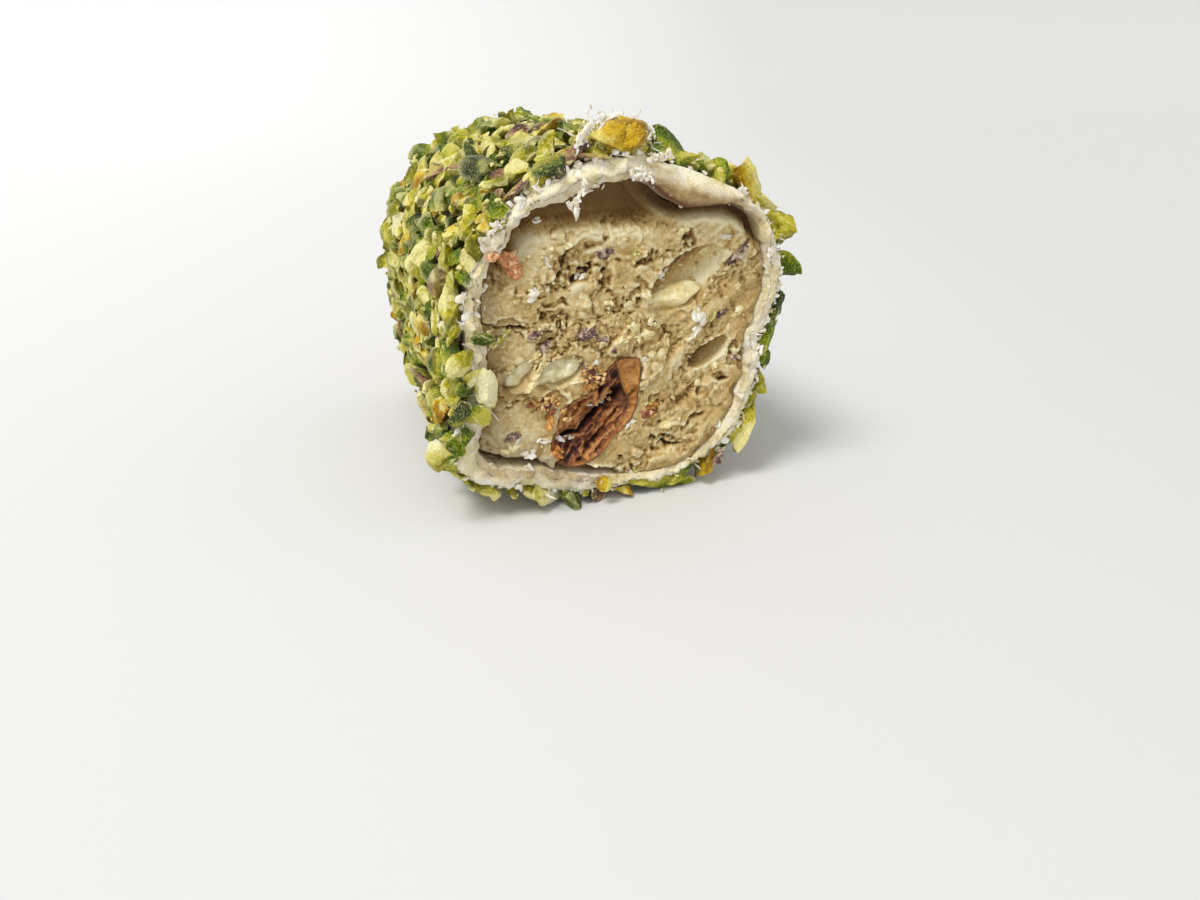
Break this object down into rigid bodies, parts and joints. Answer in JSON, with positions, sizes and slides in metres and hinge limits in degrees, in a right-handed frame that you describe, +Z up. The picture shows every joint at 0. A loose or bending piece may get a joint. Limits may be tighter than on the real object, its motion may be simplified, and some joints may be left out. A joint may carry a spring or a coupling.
{
  "type": "turkish delight roll",
  "caption": "Cut length of a Turkish delight roll: a soft wrapper coated in chopped pistachios round a crumbly nut filling with a strip of fig.",
  "frame": {"origin": "middle of the base, on the surface that the roll rests on", "axes": "+Z up, Y along the roll's axis with the cut face that shows at -Y, +X to the right as seen from that face"},
  "size_m": [0.0444, 0.0492, 0.0432],
  "materials": {
    "wrapper": "soft pale cream skin under a dense coat of chopped green and yellow pistachios",
    "filling": "matt, crumbly, creamy beige nut filling",
    "fig": "moist dark red-brown dried fig with ridges and seeds",
    "kernel": "smooth creamy yellow nut kernel with a soft gloss"
  },
  "bodies": {
    "root": {"wrapper": "wrapper", "filling": "filling", "fig": "fig", "kernel_front_right": "kernel", "kernel_front_left": "kernel", "kernel_front_edge": "kernel", "kernel_back_left": "kernel", "kernel_back_right": "kernel"}
  },
  "joints": []
}
